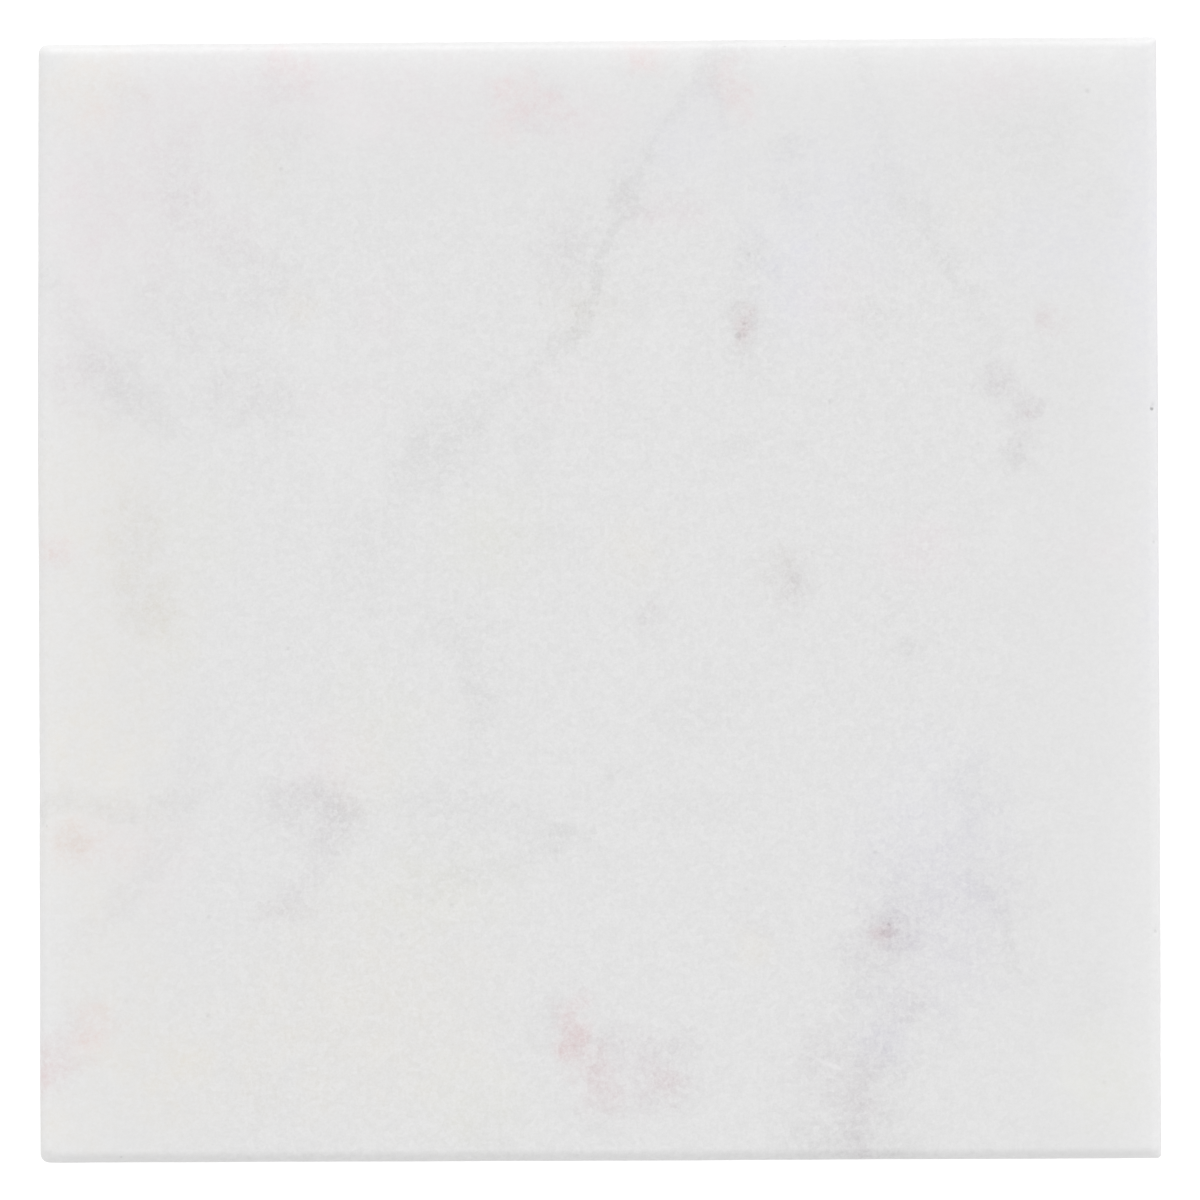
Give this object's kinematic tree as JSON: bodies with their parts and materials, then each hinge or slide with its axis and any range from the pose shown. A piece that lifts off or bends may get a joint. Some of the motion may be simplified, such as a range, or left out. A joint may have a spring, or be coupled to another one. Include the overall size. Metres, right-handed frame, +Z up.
{
  "type": "drink coaster",
  "caption": "Square slab of pale veined marble with eased edges on small round cork feet; a cup or glass stands on its flat top.",
  "frame": {"origin": "on the table, under the middle of the slab, level with the undersides of the cork feet", "axes": "+Z up, out of the top face; +X to the right and +Y to the rear, which are right and up in the picture"},
  "size_m": [0.1, 0.1, 0.0116],
  "materials": {
    "marble": "satin",
    "cork": "matte",
    "adhesive": "satin"
  },
  "bodies": {
    "root": {"stone_slab": "marble", "foot_pad_front_left": "cork", "foot_pad_front_right": "cork", "foot_pad_rear_left": "cork", "foot_pad_rear_right": "cork", "adhesive_front_left": "adhesive", "adhesive_front_right": "adhesive", "adhesive_rear_left": "adhesive", "adhesive_rear_right": "adhesive"}
  },
  "joints": []
}
